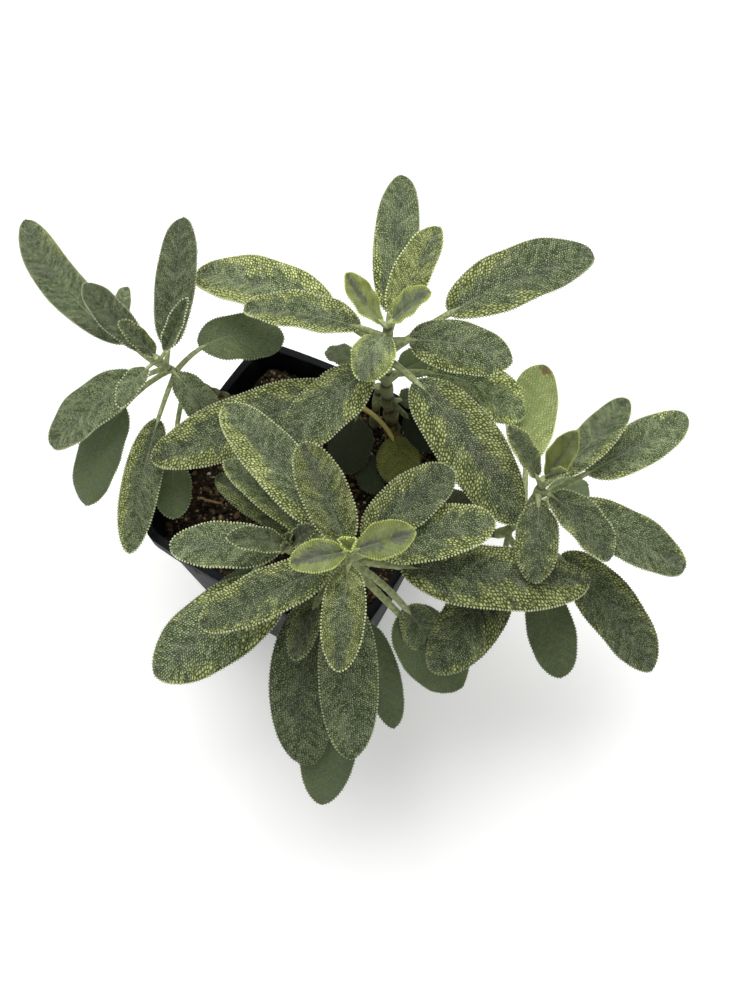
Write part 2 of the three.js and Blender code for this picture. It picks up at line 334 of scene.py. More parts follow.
world = bpy.data.worlds.new("studio")
world.use_nodes = True
world.node_tree.nodes["Background"].inputs["Color"].default_value = (1, 1, 1, 1)
world.node_tree.nodes["Background"].inputs["Strength"].default_value = view["skyStrength"]
bpy.context.scene.world = world

floorMesh = bpy.data.meshes.new("floor")
far = view["floorHalf"]
floorMesh.from_pydata([(-far, -far, 0), (far, -far, 0), (far, far, 0), (-far, far, 0)], [], [(0, 1, 2, 3)])
floor = placed("floor", floorMesh)
floor.location.z = -0.5 * mm  # just below the pot's underside
floorFinish = bpy.data.materials.new("pale_floor")
floorFinish.use_nodes = True
floorSurface = floorFinish.node_tree.nodes["Principled BSDF"].inputs
floorSurface["Base Color"].default_value = view["floorTone"]
floorSurface["Roughness"].default_value = 0.9
floorSurface["Emission Color"].default_value = view["floorTone"]
floorSurface["Emission Strength"].default_value = view["floorGlow"]
floorMesh.materials.append(floorFinish)
print("camera, lights and floor made")


# Materials

def finish(name, roughness, sheen=0, shine=0.3):
    # a new material's tree and its surface shader
    material = bpy.data.materials.new(name)
    material.use_nodes = True
    tree = Tree(material.node_tree)
    shader = material.node_tree.nodes["Principled BSDF"]
    shader.inputs["Roughness"].default_value = roughness
    shader.inputs["Sheen Weight"].default_value = sheen
    shader.inputs["Specular IOR Level"].default_value = shine
    return material, tree, shader


def bumped(tree, shader, height, depth):
    normal = tree.add("ShaderNodeBump", {}, {"Height": height, "Distance": depth, "Strength": 1})
    tree.feed(shader, "Normal", normal)


# what the shoots' tree is given
growth = {
    "Columns": 28,
    "Thickness": 0.7 * mm,
    "Groove Depth": 0.45 * mm,
    "Groove Width": 0.55 * mm,
    "Vein Spacing": 4.2 * mm,
    "Vein Depth": 0.45 * mm,
    "Pillow": 0.05,
    "Wave": 0.5 * mm,
    "Wave Angle": 17.0,  # radians of waving from a blade's foot to its tip
    "Tooth Spacing": 1.2 * mm,
    "Tooth Radius": 0.46 * mm,
    "Full Tooth Width": 15 * mm,  # teeth have their full size on blades at least this wide
    "Stalk Sides": 12,
    "Hair Length": 0.7 * mm,
    "Hair Radius": 0.05 * mm,
    "Hair Density": 900000.0,  # for each square metre
    "Seed": 7,
}

# how the lines that a shoot grows on are made from the stems and leaves below
lineSizes = {
    "stemSteps": 40,  # between two of a stem's points
    "stemPoints": 90,
    "midribSteps": 200,
    "rowStep": 0.8 * mm,
    "fewestRows": 14,
    "petioleRows": 1.2,  # for each millimetre
    "fewestPetioleRows": 6,
    "petioleOverlap": 0.12,  # the share of a blade that its petiole runs under
    "petioleSink": 0.9,  # millimetres at the petiole's end
    "petioleGirths": (1, 0.8, 0.25),  # at the stem, at the blade's foot and at the end
    "slimWidth": 30,  # a leaf's petiole thins with its width in millimetres over this
}

leafTones = {
    "greenTop": rgb(160, 171, 128),
    "greenGroove": rgb(52, 66, 36),
    "duskTop": rgb(126, 131, 110),
    "duskGroove": rgb(60, 66, 50),
    "goldTop": rgb(194, 201, 134),
    "goldGroove": rgb(68, 78, 26),
    "youngTop": rgb(168, 176, 96),
    "youngPale": rgb(160, 172, 122),
    "youngGroove": rgb(100, 110, 42),
    "youngRim": rgb(178, 188, 102),
    "oldTop": rgb(98, 109, 74),
    "oldGroove": rgb(62, 74, 42),
    "oldCoolTop": rgb(108, 116, 98),
    "oldYellow": rgb(164, 160, 70),
    "paleTop": rgb(190, 193, 142),
    "paleGroove": rgb(100, 116, 56),
    "paleGreen": rgb(132, 146, 88),
    "scorch": rgb(96, 74, 50),
    "underside": rgb(146, 156, 124),
    "rib": rgb(150, 160, 118),
    "felt": rgb(178, 185, 150),
    "goldFelt": rgb(196, 202, 138),
    "gap": rgb(44, 54, 28),
    "hair": rgb(206, 212, 190),
    "hairPale": rgb(232, 234, 222),
}

leafPattern = {
    "finePebble": 0.75,  # millimetres across, on green ground
    "broadPebble": 1.1,  # and on gold
    "broadLeaf": 20,  # width in millimetres of a leaf whose pebbles have those sizes
    "ridge": 0.9,  # millimetres between the ridges at a young leaf's margins
    "streakScale": (0.09, 0.42),  # noise for each millimetre sideways and along the leaf
    "patchScale": (0.12, 0.08),
    "cloudScale": (0.2, 0.3),
    "gritScale": 1.6,
    "veinLean": 0.85,  # how far a side vein climbs for each millimetre sideways
    "streakLean": 0.9,
    "pebbleLean": 0.55,
    "pebbleDepth": 0.45 * mm,
}


def leafFinish():
    material, tree, shader = finish("sage_leaf", 0.85, 0.02)
    tones, pattern = leafTones, leafPattern
    sideways, lengthways, across = tree.attribute("bladePlace").parts()
    yellow, side, age = tree.attribute("bladeLook").parts()
    seed, reach, share = tree.attribute("bladeMore").parts()
    underside, broadness, light = tree.attribute("bladeLast").parts()
    outward = across.size()
    young = 1 - age.step(0, 0.1)
    ageing, old = age.step(0.4, 0.9), age.step(0.45, 0.9)

    def marks(lengths, scale, shift, detail=2, roughness=0.5):
        # noise drawn out along the leaf, different on each leaf
        wide, long = pattern[scale]
        return tree.noise(tree.combine(lengths * long, sideways * wide, seed * shift), 1, detail, roughness)

    # where the yellow and the dusky patches lie; their borders run out along the side veins
    veinwise = lengthways - pattern["streakLean"] * sideways.size()
    streaks = marks(veinwise, "streakScale", 40)
    patches = marks(lengthways, "patchScale", 70)
    cloud = marks(veinwise, "cloudScale", 20, 3, 0.6)
    spread = outward * 0.9 + (streaks - 0.5) * 1.1 + (patches - 0.5) * 1.4
    spread = spread + across * side * 0.6 + (share - 0.5) * reach
    gold = spread.step(1.08 - yellow * 1.25, 1.28 - yellow * 1.25)
    dusk = 0.45 + young * 0.35 - outward - across * side * 0.5
    dusk = (dusk + (streaks - 0.5) * 1.6 + (patches - 0.5) * 2).step(0.2, 0.5)

    # pebbles between the smallest veins, in rows that lean as the side veins do
    cells = tree.combine(sideways + seed * 90, lengthways - pattern["pebbleLean"] * sideways.size(), 0)

    def pebbles(size, groove, roundness):
        # a dome for each pebble, from 0 in its grooves to 1, and a tone of its own
        values = {"Vector": cells, "Scale": 1 / (size * (0.4 + 0.6 * broadness)), "Randomness": 0.8}
        kind = {"voronoi_dimensions": "2D"}
        edge = tree.add("ShaderNodeTexVoronoi", {**kind, "feature": "DISTANCE_TO_EDGE"}, values)
        cell = tree.add("ShaderNodeTexVoronoi", {**kind, "feature": "F1"}, values)
        dome = edge.step(0, groove) * (1 - cell.out("Distance").step(roundness, 0.75))
        return dome, cell.out("Color").along("X")

    fine, fineTone = pebbles(pattern["finePebble"], 0.28, 0.35)
    broad, broadTone = pebbles(pattern["broadPebble"], 0.3, 0.32)
    coarse = gold * age.step(0.08, 0.2)
    grit = tree.noise(tree.combine(sideways, lengthways, seed * 9), pattern["gritScale"], 3, 0.7)
    dome = coarse * broad + (1 - coarse) * fine

    # how light each spot is: pale felted pebble tops, and dark grooves between them that are partly their own
    # green and partly painted shade; smoother and flatter on young and old leaves
    lit = coarse * broad * (0.6 + 0.4 * broadTone) + (1 - coarse) * fine * (0.3 + 0.75 * fineTone)
    lit = lit + (grit - 0.5) * 0.7 + (cloud - 0.5) * 1.3
    lit = 0.45 + (lit - 0.45) * (1 - age.step(0.2, 0.9) * 0.35)
    downy = 0.5 + (cloud - 0.5) * 0.8 + (grit - 0.5) * 0.5
    lit = lit + (downy - lit) * young * 0.65
    # painted light and painted shade of ridges across a young leaf's margins
    ridges = (lengthways * (2 * math.pi / pattern["ridge"])).sine() * outward.step(0.5, 0.85) * young
    lit = (lit + ridges * grit * 0.4).atLeast(0).atMost(1)

    # green, dusky and golden ground
    green = tree.blend(lit, tones["greenGroove"], tones["greenTop"])
    duskTone = tree.blend(lit, tones["duskGroove"], tones["duskTop"])
    bright = tree.blend(lit, tones["goldGroove"], tones["goldTop"])
    youngTop = tree.blend(patches.step(0.35, 0.6), tones["youngTop"], tones["youngPale"])
    fresh = tree.blend(lit, tones["youngGroove"], youngTop)
    colour = tree.blend(dusk * (0.6 + young * 0.3), green, duskTone)
    colour = tree.blend(gold * 0.9, colour, tree.blend(young, bright, fresh))

    # old smooth leaves
    oldTop = tree.blend((cloud + yellow * 0.4).step(0.4, 0.62), tones["oldCoolTop"], tones["oldTop"])
    oldTop = tree.blend(yellow.step(0.6, 0.9) * (cloud + 0.3).atMost(1), oldTop, tones["oldYellow"])
    colour = tree.blend(old, colour, tree.blend(lit * 0.7 + 0.15, tones["oldGroove"], oldTop))

    # side veins: painted shade along their valleys
    phase = (lengthways - pattern["veinLean"] * sideways.size()) / (growth["Vein Spacing"] / mm) + seed
    veinValleyShade = (1 - (phase * math.pi).sine().size()) ** 4 * outward.step(0.05, 0.3) * (1 - outward.step(0.75, 1))
    veinValleyShade = veinValleyShade * (1 - young) * (1 - age.step(0.5, 1) * 0.5)
    colour = tree.blend(veinValleyShade * 0.35, colour, tones["greenGroove"])

    # faded leaves, burnt at the tip
    faded = tree.blend(lit * 0.9 + (patches - 0.5) * 0.8, tones["paleGroove"], tones["paleTop"])
    bleach = (streaks - 0.3 + outward * 0.2).step(0.2, 0.5)
    faded = tree.blend(0.45 + bleach * 0.55, tones["paleGreen"], faded)
    burnt = (share * 2 + outward * 0.3 + (patches - 0.5) * 2.4 + (grit - 0.5) * 1.2).step(2, 2.3)
    colour = tree.blend(yellow.step(1, 1.1), colour, tree.blend(burnt * 0.85, faded, tones["scorch"]))

    # midrib, painted shade in a dark line just inside the rim where the teeth sit, and underside
    midrib = (1 - sideways.size().step(0.1, 0.5)) * (1 - share.step(0.1, 0.7)) * (1 - ageing * 0.6)
    colour = tree.blend(midrib * 0.5, colour, tones["rib"])
    # painted shade in the gap between the teeth and the blade
    rim = (1 - young) * outward.step(0.94, 0.99) * (1 - ageing)
    colour = tree.blend(rim * 0.8, colour, tones["gap"])
    colour = tree.blend(underside, colour, tones["underside"])
    # the whole colour times the leaf's lightness factor, partly its own tone and partly painted shade and
    # painted light
    tree.feed(shader, "Base Color", colour.times(light))
    crisp = (1 - young * 0.7) * (1 - age.step(0.4, 0.95) * 0.7) * (1 - underside * 0.6)
    bumped(tree, shader, (dome + grit * 0.3) * crisp, pattern["pebbleDepth"])
    return material


def feltFinish():
    # the felted teeth along a blade's margin
    material, tree, shader = finish("sage_margin", 0.9, 0.1)
    look, light = tree.attribute("bladeLook"), tree.attribute("bladeLast").along("Z")
    yellow, age = look.along("X"), look.along("Z")
    speck = tree.noise(tree.spot(), 1 / (0.6 * mm), 2)
    colour = tree.blend(yellow * 0.8, leafTones["felt"], leafTones["goldFelt"])
    colour = tree.blend(speck.step(0.3, 0.7) * 0.4, colour, leafTones["greenTop"])
    colour = tree.blend(age.step(0.15, 0.6) * 0.9, colour, leafTones["oldTop"])
    colour = tree.blend(yellow.step(1, 1.1), colour, leafTones["paleTop"])
    rim = tree.blend(speck.step(0.35, 0.65), leafTones["youngTop"], leafTones["youngRim"])
    colour = tree.blend(1 - age.step(0, 0.1), colour, rim)
    # the teeth take their leaf's painted shade and painted light as well
    tree.feed(shader, "Base Color", colour.times(light))
    bumped(tree, shader, speck, 0.1 * mm)
    return material


stalkTones = {
    "green": rgb(128, 138, 90),
    "pale": rgb(168, 176, 132),
    "yellow": rgb(182, 168, 100),
    "wood": rgb(108, 102, 62),
    "woodDark": rgb(38, 38, 22),
    "scar": rgb(132, 128, 96),
    "dry": rgb(188, 134, 66),
}


def stalkFinish():
    material, tree, shader = finish("sage_stalk", 0.75, 0.05)
    wood, knot, yellow = tree.attribute("stalkLook").parts()
    light = tree.attribute("stalkMore").along("X")
    spot = tree.spot()
    grain = tree.noise(spot, 1 / (1.5 * mm), 4)
    green = tree.blend(grain.step(0.35, 0.7), stalkTones["green"], stalkTones["pale"])
    green = tree.blend(yellow, green, stalkTones["yellow"])
    bark = tree.blend(grain.step(0.35, 0.65), stalkTones["woodDark"], stalkTones["wood"])
    bark = tree.blend(knot.step(0.7, 1) * 0.5, bark, stalkTones["scar"])
    dry = tree.noise(spot, 1 / (7 * mm), 2) + wood * 0.15 + wood.step(0.7, 0.9) * 0.2
    bark = tree.blend(dry.step(0.62, 0.7) * 0.8, bark, stalkTones["dry"])
    colour = tree.blend((wood + (grain - 0.5) * 0.6).step(0.2, 0.5), green, bark)
    colour = tree.blend((1 - knot).step(0.3, 0.8) * 0.9, colour, stalkTones["woodDark"])
    # times a petiole's painted shade and painted light from its leaf, and 1 on the stem
    tree.feed(shader, "Base Color", colour.times(light))
    bumped(tree, shader, grain, 0.25 * mm)
    return material


def hairFinish():
    material, tree, shader = finish("sage_hair", 0.9)
    tone = tree.blend(tree.noise(tree.spot(), 1 / (4 * mm)), leafTones["hair"], leafTones["hairPale"])
    tree.feed(shader, "Base Color", tone)
    return material


finishes = {"Leaf": leafFinish(), "Margin": feltFinish(), "Stalk": stalkFinish(), "Hair": hairFinish()}
print("leaf materials made")


# Shoots: stem points and leaves in millimetres and degrees, in the plants' own frame.
# A shoot: its stem's points, radii at foot and top, share of wood at the foot, radius of its petioles
# and gap between its knobs.
# A leaf: place along the stem, tip, petiole, width, arch, sweep, roll, fold, and then its looks:
# share of yellow, lean of the yellow to the right half and to the tip, age from 0 (young) to 1 (old
# and smooth), and a factor on the whole leaf's colour that is partly its own lightness and partly painted
# shade and painted light: low for leaves that lie in shade, high for leaves that others shade. A share of
# yellow over 1 is a faded leaf.

shoots = {
    "leaf_shoot_left": {
        "stem": [(-17, 33, 66), (-17, 34, 82), (-25, 36, 93), (-37, 36, 104), (-45, 36, 113),
                 (-50, 34, 124), (-53, 31, 136), (-55, 29, 146)],
        "radii": (2.4, 1.3),
        "wood": 1.2,
        "petiole": 1.1,
        "knobGap": 5,
        "leaves": [
            (0.82, (-121, 113, 118), 22, 17, 5, 10, 0, 10, 0.12, 0.4, 0.3, 0.3, 1.05),
            (0.92, (-84, 62, 146), 8, 13, 3, 3, 10, 15, 0.05, 0, 0, 0.2, 0.8),
            (0.99, (-67, 37, 158), 1, 8, 1, 0, 0, 20, 0.5, 0.5, 0, 0.1, 0.95),
            (0.72, (-77, 83, 112), 40, 7, 2, 11, 20, 10, 0, 0, 0, 0.4, 1.5),
            (0.88, (-48, 90, 150), 7, 16, 3, -1, 0, 12, 0, 0, 0, 0.3, 0.9),
            (0.95, (-42, 46, 160), 4, 9, -2, 0, 10, 45, 0.1, 0, 0, 0.2, 1.4),
            (0.78, (-9, 53, 118), 14, 22, 5, 6, 0, -6, 0.1, 0, 0, 0.75, 1.45),
            (0.86, (-100, 7, 114), 11, 20, 6, -1, 0, 8, 0, 0, 0, 0.35, 1.2),
            (0.96, (-68, 10, 141), 7, 9, 4, 0, 0, 15, 0, 0, 0, 0.15, 1.5),
            (0.82, (-90, -9, 92), 24, 19, 7, -6, 0, -5, 0, 0, 0, 0.85, 1.6),
            (0.78, (-68, -34, 102), 20, 15, 2, -2, -15, 12, 0.35, 0.9, 0, 0.3, 1.15),
            (0.68, (-52, -18, 99), 34, 15, 2, -2, 0, 5, 0.15, 0, 0, 0.9, 1.35),
            (0.84, (-33, 15, 108), 3, 14, 5, 0, -5, -5, 0.1, 0, 0, 0.5, 1.3),
        ],
    },
    "leaf_shoot_back": {
        "stem": [(36, 25, 66), (36, 25, 84), (35, 28, 100), (33, 29, 120), (33, 29, 142), (33, 30, 166)],
        "radii": (3.8, 1.9),
        "wood": 1.1,
        "petiole": 1.5,
        "knobGap": 10,
        "leaves": [
            (0.88, (39, 98, 166), 12, 17, 4, 0, 0, 10, 0.15, -0.3, -1, 0.3, 1.3),
            (0.94, (52, 65, 178), 7, 15, 1, 1, -5, 15, 0.85, -1.1, 0, 0.1, 1.4),
            (0.99, (18, 42, 182), 3, 11, -1, 1, 5, 20, 0.8, 0, 0, 0, 1.2),
            (1, (48, 35, 181), 3, 12, 2, 0, -10, 18, 0.55, 0, 0, 0, 1.1),
            (0.95, (23, 12, 158), 2, 17, 6, 0, 5, -15, 0.45, 0, 0, 0.05, 1.5),
            (0.84, (-44, 76, 132), 24, 24, 10, -1, 0, 8, 0.6, 0, 0.2, 0.2, 1.35),
            (0.92, (-21, 44, 156), 11, 20, 2, -2, 15, 10, 0.6, 0, 0, 0.2, 1.15),
            (0.82, (114, 77, 146), 28, 27, 6, 1, -5, 10, 0.35, 0, -1, 0.3, 1.05),
            (0.9, (80, 25, 149), 8, 21, 3, 2, 10, -12, 0.3, 0.2, 0, 0.2, 1.25),
            (0.78, (82, -31, 126), 16, 26, 12, 1, 0, -8, 0.6, 0.1, 0.1, 0.25, 0.95),
            (0.66, (88, 20, 114), 16, 24, 5, 5, 0, 5, 0.6, 0, 0, 0.45, 2.2),
            (0.8, (-7, -3, 132), 8, 23, 5, 0, 5, -8, 0.4, 0, -0.3, 0.2, 1.05),
            (0.68, (-58, -3, 122), 20, 24, 6, 3, -8, 8, 0.55, 0, 0.3, 0.2, 0.9),
            (0.46, (53, 10, 103), 10, 12, 3, 0, 20, 0, 0.1, 0, 0, 0.9, 0.15),
            (0.44, (47, 33, 102), 5, 11, 2, 0, 0, 5, 0.1, 0, 0, 0.9, 0.85),
            (0.6, (9, 50, 116), 14, 10, 3, 0, 0, 5, 0.1, 0, 0, 0.7, 1.25),
            (0.6, (57, 46, 118), 8, 15, 2, 1, 0, 5, 0.1, 0, 0, 1, 1.2),
        ],
    },
    "leaf_shoot_right": {
        "stem": [(36, -9, 66), (36, -9, 84), (45, -13, 97), (61, -21, 105), (77, -28, 108),
                 (86, -23, 116), (91, -19, 139)],
        "radii": (2.6, 1.8),
        "wood": 0.4,
        "petiole": 1.25,
        "knobGap": 7,
        "leaves": [
            (0.78, (99, 52, 100), 24, 20, 1, 2, 0, 5, 1.2, 0, 0, 0.3, 1.65),
            (0.96, (77, -2, 149), 4, 10, 1, 0, 10, 25, 0.45, 0, 0, 0.1, 1.05),
            (0.98, (101, -9, 158), 3, 11, -1, 0, 0, 25, 1, 0, 0, 0, 0.75),
            (0.94, (124, 14, 140), 8, 14, 2, -2, 0, 8, 0.2, 0.3, -0.5, 0.2, 1.2),
            (0.88, (150, 14, 126), 22, 18, 2, -2, 5, 8, 0.3, 0, 0, 0.3, 1.5),
            (0.99, (97, -22, 151), 1, 6, 1, 0, 0, 20, 0.7, 0, 0, 0.05, 0.85),
            (0.86, (148, -42, 106), 10, 21, 6, 0, 0, 8, 0.25, 0, 0, 0.35, 1.1),
            (0.94, (115, -46, 127), 5, 17, 4, 1, -10, 12, 0.4, 0, 0, 0.2, 0.95),
            (0.92, (86, -57, 132), 6, 16, 4, 0, 0, -10, 0.45, 0, 0, 0.3, 0.85),
            (0.72, (138, -75, 80), 22, 24, 2, 5, -8, 5, 0.35, -0.5, -0.6, 0.4, 0.85),
            (0.68, (102, -78, 80), 26, 19, 3, 3, 0, -4, 0.15, 0, 0, 0.8, 1.1),
            (0.82, (114, -5, 102), 10, 12, 2, 0, 10, 5, 0, 0, 0, 0.8, 2.2),
            (0.7, (49, -84, 112), 16, 23, 4, 5, -5, -6, 0.4, 0, 0, 0.4, 0.8),
        ],
    },
    "leaf_shoot_front": {
        "stem": [(9, -31, 66), (9, -31, 84), (12, -38, 104), (16, -46, 126), (19, -53, 146), (20, -55, 160)],
        "radii": (2.8, 1.4),
        "wood": 0.4,
        "petiole": 1.5,
        "knobGap": 7,
        "leaves": [
            (0.9, (-27, 6, 150), 12, 20, 5, 0, 5, 8, 0.45, -1, 0.4, 0.2, 1.15),
            (0.72, (-28, -9, 134), 12, 14, 3, 0, 5, 15, 0.5, 0, 0, 0.35, 1.6),
            (0.62, (-33, -9, 120), 14, 14, 3, 0, 0, 5, 0.5, 0, 0, 0.5, 0.85),
            (0.95, (3, -18, 167), 3, 17, 2, 0, 0, 12, 0.7, 0.2, -0.5, 0.1, 0.85),
            (0.88, (56, -20, 150), 8, 19, 4, 0, 0, 8, 0.4, -0.3, -0.5, 0.2, 0.8),
            (0.86, (71, -39, 147), 10, 20, 3, 0, 0, 6, 0.5, 0, 0, 0.2, 1.1),
            (0.98, (42, -51, 166), 2, 14, 0, 0, 10, 24, 0.66, -0.3, 0, 0, 0.9),
            (0.98, (0, -62, 165), 2, 12, 1, 0, -10, 20, 0.6, -0.3, 0, 0, 1.05),
            (0.94, (16, -93, 144), 4, 15, 5, 0, 0, -10, 0.7, -0.4, -0.3, 0.1, 1.05),
            (0.84, (109, -50, 116), 19, 26, 4, -3, -5, -6, 0.6, 0, 0.2, 0.2, 0.9),
            (0.9, (-33, -75, 139), 7, 18, 3, 1, 0, 8, 0.5, 0, 0, 0.2, 0.95),
            (0.66, (-53, -85, 110), 24, 29, 5, -2, 0, -5, 0.4, -0.1, -0.3, 0.3, 1.15),
            (0.72, (20, -116, 110), 14, 21, 8, 0, 0, -6, 0.2, 0, 0, 0.35, 1),
            (0.6, (4, -115, 94), 16, 24, 8, -7, 0, 5, 0.05, 0, 0, 0.45, 0.8),
            (0.78, (0, -85, 130), 20, 10, 3, -2, 0, 8, 0.5, 0, 0, 0.3, 0.6),
            (0.5, (8, -127, 79), 30, 23, 10, 2, 0, -5, 0, 0, 0, 0.85, 1.25),
            (0.48, (36, -98, 80), 26, 14, 6, 2, 0, -8, 0, 0, 0, 0.8, 1.2),
            (0.8, (52, -75, 100), 32, 15, 4, 3, 0, -12, 0.35, 0, 0, 0.4, 0.95),
            (0.74, (63, -82, 85), 31, 26, 3, 0, 0, -5, 0.15, 0, 0, 0.95, 1.2),
            (1, (16, -54, 167), 1, 5, 0, 0, 0, 30, 0.9, 0, 0, 0, 1.6),
            (1, (22, -54, 168), 1, 5, 1, 0, 0, 30, 0.9, 0, 0, 0, 1.6),
            (0.68, (68, -13, 108), 24, 21, 3, -2, 0, 5, 0.7, 0, 0, 1, 0.5),
        ],
    },
    "leaf_shoot_side": {
        "stem": [(-7, -24, 66), (-7, -24, 84), (-6, -33, 106), (-3, -43, 128), (-2, -46, 142)],
        "radii": (2, 1.1),
        "wood": 0.4,
        "petiole": 1.1,
        "knobGap": 6,
        "leaves": [
            (0.84, (-47, -42, 130), 4, 18, 3, 0, 0, 5, 0.2, 0, 0, 0.2, 1.3),
            (0.94, (-24, -46, 148), 2, 10, 2, 0, 0, 20, 0.2, -0.3, 0, 0.1, 1),
            (0.97, (8, -47, 161), 5, 7, 4, -1, 20, 12, 0.4, 0, 0, 0.1, 0.65),
            (0.98, (-1, -45, 151), 1, 4, 1, 0, 0, 25, 0.5, 0, 0, 0, 0.6),
            (1, (-4, -52, 149), 1, 4, 1, 0, 0, 25, 0.5, 0, 0, 0, 0.55),
            (0.5, (-38, -58, 96), 16, 11, 4, 0, 0, 0, 0, 0, 0, 0.8, 0.75),
        ],
    },
    "stem_stub": {
        "stem": [(28, 33, 66), (28, 33, 84), (29, 34, 97), (30, 35, 112)],
        "radii": (2.1, 1.9),
        "wood": 0.2,
        "petiole": 1,
        "knobGap": 14,
        "leaves": [],
    },
    "leaf_sprig_low": {
        "stem": [(20, 32, 66), (20, 32, 84), (21, 33, 92), (22, 33, 100)],
        "radii": (1.8, 1),
        "wood": 0.3,
        "petiole": 1.1,
        "knobGap": 6,
        "leaves": [
            (0.9, (16, 3, 96), 6, 18, 3, 0, 0, -5, 0.2, 0, 0, 1, 0.35),
            (0.95, (38, -3, 96), 21, 18, 3, 6, 0, -5, 0.9, 0, 0, 0.95, 0.8),
            (0.8, (28, -4, 92), 22, 12, 3, 0, 0, 0, 0.15, 0, 0, 1, 0.4),
            (0.75, (-8, 24, 93), 9, 14, 2, 0, 0, 0, 0.15, 0, 0, 1, 0.4),
        ],
    },
}


def evenPoints(points, shares):
    # points at shares of a polyline's length, and that length
    steps = np.linalg.norm(np.diff(points, axis=0), axis=1)
    run = np.concatenate([[0], np.cumsum(steps)])
    places = np.asarray(shares) * run[-1]
    return np.stack([np.interp(places, run, points[:, k]) for k in range(3)], axis=1), run[-1]


def stemCurve(points):
    # a centripetal curve through the points, as the model's own stems are
    p = np.array(points, float)
    p = np.vstack([2 * p[0] - p[1], p, 2 * p[-1] - p[-2]])
    rows = []
    for i in range(1, len(p) - 2):
        spans = [np.linalg.norm(p[i + k] - p[i + k - 1]) ** 0.5 for k in range(3)]
        chords = [p[i + k] - p[i + k - 1] for k in range(3)]
        slopes = []
        for k in (0, 1):
            both = (chords[k] + chords[k + 1]) / (spans[k] + spans[k + 1])
            slopes.append(spans[1] * (chords[k] / spans[k] - both + chords[k + 1] / spans[k + 1]))
        t = np.linspace(0, 1, lineSizes["stemSteps"], endpoint=i == len(p) - 3)[:, None]
        rows.append((2 * t**3 - 3 * t**2 + 1) * p[i] + (t**3 - 2 * t**2 + t) * slopes[0]
                    + (3 * t**2 - 2 * t**3) * p[i + 1] + (t**3 - t**2) * slopes[1])
    return np.vstack(rows)


def midribCurve(foot, tip, arch, sweep):
    # a parabola that rises by the arch and swings out by the sweep at its middle
    across = tip - foot
    left = np.array([-across[1], across[0], 0])
    left /= np.linalg.norm(left)
    control = (foot + tip) / 2 + np.array([0, 0, 2 * arch]) + left * 2 * sweep
    t = np.linspace(0, 1, lineSizes["midribSteps"])[:, None]
    return (1 - t) ** 2 * foot + 2 * t * (1 - t) * control + t**2 * tip


def turned(points):
    # from the plants' frame in millimetres to the scene's in metres
    cos, sin = math.cos(plantTurn), math.sin(plantTurn)
    return points @ np.array([[cos, sin, 0], [-sin, cos, 0], [0, 0, 1]]) * mm


def shootLines(shoot, rng):
    # the stem, the petioles and the midribs of a shoot as polylines with what the tree needs
    sizes = lineSizes
    stem = stemCurve(shoot["stem"])
    shares = np.linspace(0, 1, sizes["stemPoints"])
    stemRow, stemLong = evenPoints(stem, shares)
    thick, thin = shoot["radii"]
    lines = [{"points": turned(stemRow), "thick": (thick + (thin - thick) * shares) * mm, "light": 1,
              "wood": shoot["wood"] * (1 - shares) ** 1.3, "knobs": 1,
              "share": shares * stemLong / shoot["knobGap"]}]
    for leaf in shoot["leaves"]:
        at, tip, petiole, width, arch, sweep, roll, fold, yellow, side, reach, age, light = leaf
        foot = evenPoints(stem, [at])[0][0]
        midrib = midribCurve(foot, np.array(tip, float), arch, sweep)
        long = evenPoints(midrib, [0])[1]
        start = petiole / long
        end = start + sizes["petioleOverlap"] * (1 - start)

        # the petiole thins under the blade's foot and sinks into it
        run = np.linspace(0, end, max(sizes["fewestPetioleRows"], round(petiole * sizes["petioleRows"])))
        girth = np.interp(run, [0, start, end], sizes["petioleGirths"])
        girth = girth * shoot["petiole"] * min(1, 0.45 + width / sizes["slimWidth"])
        path = evenPoints(midrib, run)[0]
        path[:, 2] -= np.interp(run, [start, end], [0, sizes["petioleSink"]])
        # a petiole's colour carries its leaf's painted shade and painted light, more weakly
        lines.append({"points": turned(path), "thick": girth * mm, "light": min(1.1, 0.3 + 0.8 * light),
                      "yellow": age > 0.9 and yellow > 0.8})

        # the blade's midrib, with closer points at both ends
        bladeLong = long * (1 - start) * mm
        even = np.linspace(0, 1, max(sizes["fewestRows"], round(bladeLong / sizes["rowStep"])))
        bladeShares = 0.001 + 0.998 * (even + (1 - np.cos(math.pi * even)) / 2) / 2
        bladePath = evenPoints(midrib, start + (1 - start) * bladeShares)[0]
        lines.append({"points": turned(bladePath), "blade": 1,
                      "share": bladeShares, "width": width * mm, "long": bladeLong,
                      "roll": math.radians(roll), "fold": math.radians(fold), "seed": rng.random(),
                      "yellow": yellow, "side": side, "reach": reach, "age": age, "light": light})
    return lines


def framed(tree, lines):
    # loose edges as curves whose normals lie level, with each point's place and directions captured
    curves = tree.add("GeometryNodeMeshToCurve", {}, {"Mesh": lines})
    curves = tree.add("GeometryNodeSetCurveNormal", {"mode": "Z_UP"}, {"Curve": curves})
    curves = tree.add("GeometryNodeSetCurveTilt", {}, {"Curve": curves, "Tilt": tree.field("roll")})
    captures = [("Centre", "VECTOR"), ("Right", "VECTOR"), ("Along", "VECTOR")]
    taken = tree.add("GeometryNodeCaptureAttribute", {"captures": captures}, {
        "Geometry": curves,
        "Centre": tree.add("GeometryNodeInputPosition"),
        "Right": tree.add("GeometryNodeInputNormal"),
        "Along": tree.add("GeometryNodeInputTangent"),
    })
    right, along = taken.out("Right"), taken.out("Along")
    return taken.out("Geometry"), taken.out("Centre"), right, right.vector("CROSS_PRODUCT", along)


